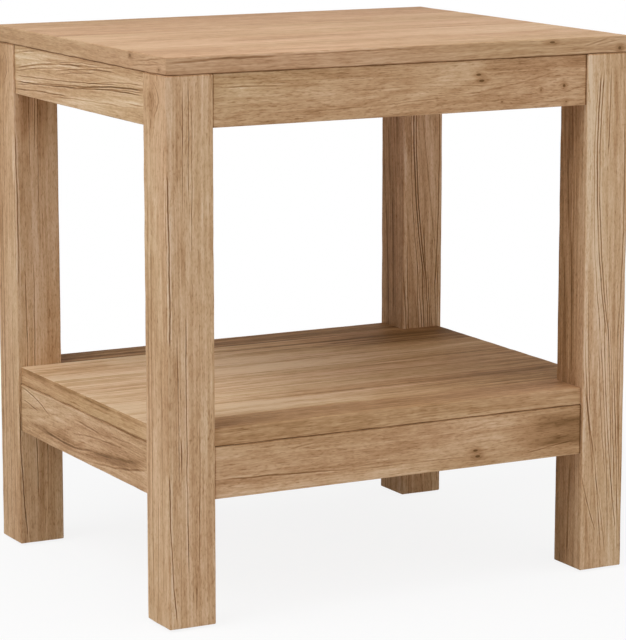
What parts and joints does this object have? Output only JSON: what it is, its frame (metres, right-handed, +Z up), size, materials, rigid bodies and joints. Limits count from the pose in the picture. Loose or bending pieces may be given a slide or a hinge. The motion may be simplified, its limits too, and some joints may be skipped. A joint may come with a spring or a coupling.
{
  "type": "end table with shelf",
  "caption": "Square-legged solid wood end table with a nearly flush top, aprons, and an open lower shelf lying on rails between the legs.",
  "frame": {"origin": "on the floor, under the middle of the table", "axes": "+X to the table's right along its width, +Y to the back, +Z up; the front looks along -Y"},
  "size_m": [0.571, 0.464, 0.61],
  "materials": {
    "hardwood": "matte natural hardwood, lightly oiled, with open grain",
    "block_wood": "plain sawn softwood, unfinished",
    "screw_steel": "zinc-plated",
    "glide_plastic": "matte dark brown nylon"
  },
  "bodies": {
    "root": {"leg_front_left": "hardwood", "leg_front_right": "hardwood", "leg_back_right": "hardwood", "leg_back_left": "hardwood", "apron_front": "hardwood", "apron_right": "hardwood", "apron_back": "hardwood", "apron_left": "hardwood", "rail_front": "hardwood", "rail_right": "hardwood", "rail_back": "hardwood", "rail_left": "hardwood", "top_board_1": "hardwood", "top_board_2": "hardwood", "top_board_3": "hardwood", "top_board_4": "hardwood", "top_board_5": "hardwood", "shelf_front_board": "hardwood", "shelf_board_1": "hardwood", "shelf_board_2": "hardwood", "shelf_board_3": "hardwood", "shelf_board_4": "hardwood", "shelf_back_board": "hardwood", "top_block_front_left": "block_wood", "top_block_front_right": "block_wood", "top_block_back_right": "block_wood", "top_block_back_left": "block_wood", "shelf_block_front_left": "block_wood", "shelf_block_front_right": "block_wood", "shelf_block_back_right": "block_wood", "shelf_block_back_left": "block_wood", "top_screws": "screw_steel", "shelf_screws": "screw_steel", "glide_front_left": "glide_plastic", "glide_front_right": "glide_plastic", "glide_back_right": "glide_plastic", "glide_back_left": "glide_plastic", "glide_nails": "screw_steel"}
  },
  "joints": []
}
